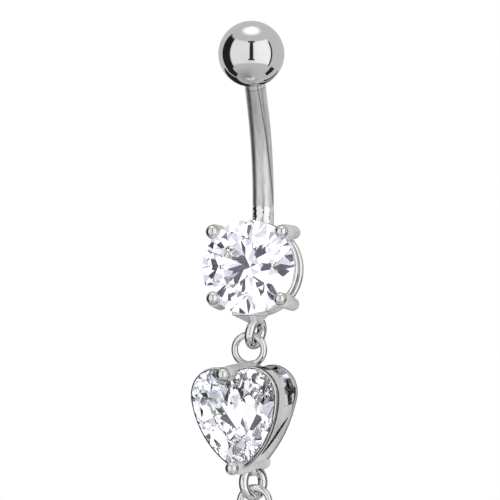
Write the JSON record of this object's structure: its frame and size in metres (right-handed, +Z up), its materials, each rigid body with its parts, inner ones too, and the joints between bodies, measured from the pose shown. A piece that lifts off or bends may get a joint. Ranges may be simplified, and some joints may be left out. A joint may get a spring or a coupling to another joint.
{
  "type": "navel ring",
  "caption": "Curved navel bar with a screw ball, a claw-set round stone and a hanging heart-shaped stone drop.",
  "frame": {"origin": "on the bar's axis, a little above the rearmost point of its bend, where the edge of the navel holds it", "axes": "+Z up towards the screw ball's end, -Y the way the stones face, +X to the right as the stones are seen from the front"},
  "size_m": [0.0081, 0.0079, 0.0378],
  "materials": {
    "steel": "polished",
    "plated_metal": "polished",
    "clear_stone": "faceted"
  },
  "bodies": {
    "barbell": {"bar": "steel", "round_setting": "plated_metal", "round_stone": "clear_stone"},
    "screw_ball": {"ball": "steel"},
    "heart_drop": {"heart_setting": "plated_metal", "heart_stone": "clear_stone", "end_ring": "plated_metal"}
  },
  "joints": [
    {"name": "ball_unscrew", "type": "slide", "parent": "barbell", "child": "screw_ball", "axis": [0, -0.454, 0.891], "range_m": [0, 0.003]},
    {"name": "heart_swing", "type": "hinge", "parent": "barbell", "child": "heart_drop", "pos_m": [-0.0002, -0.00224, -0.01426], "axis": [0.2527, 0.947, -0.1982], "range_deg": [-40, 40]}
  ]
}
